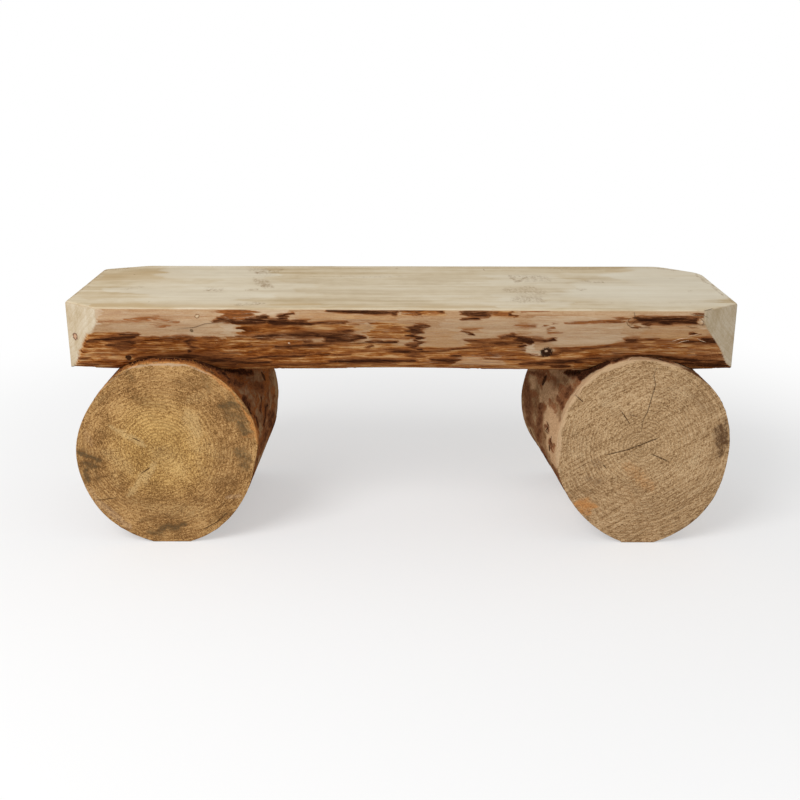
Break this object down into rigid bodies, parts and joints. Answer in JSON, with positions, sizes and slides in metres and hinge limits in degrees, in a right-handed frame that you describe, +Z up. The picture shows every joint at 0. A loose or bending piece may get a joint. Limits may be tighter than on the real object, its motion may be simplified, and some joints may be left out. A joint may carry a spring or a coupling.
{
  "type": "log bench",
  "caption": "Rustic backless bench: a thick half-log seat with sawn corners, scribed over short round logs that lie crosswise as legs.",
  "frame": {"origin": "on the floor, under the middle of the bench's bounding box", "axes": "+X along the seat to the right as seen from the front, +Y from the front to the back, +Z up; the front is the side in the picture"},
  "size_m": [1.2211, 0.3929, 0.4588],
  "materials": {
    "seat_wood": "matt, sawn top, debarked sides with inner bark left on",
    "left_leg_wood": "matt, sawn end grain, rough debarked sides",
    "right_leg_wood": "matt, sawn end grain, rough debarked sides",
    "zinc_steel": "zinc plated"
  },
  "bodies": {
    "root": {"seat_slab": "seat_wood", "leg_log_left": "left_leg_wood", "leg_log_right": "right_leg_wood", "lag_screw_left_front": "zinc_steel", "lag_screw_left_rear": "zinc_steel", "lag_screw_right_front": "zinc_steel", "lag_screw_right_rear": "zinc_steel", "washer_left_front": "zinc_steel", "washer_left_rear": "zinc_steel", "washer_right_front": "zinc_steel", "washer_right_rear": "zinc_steel"}
  },
  "joints": []
}
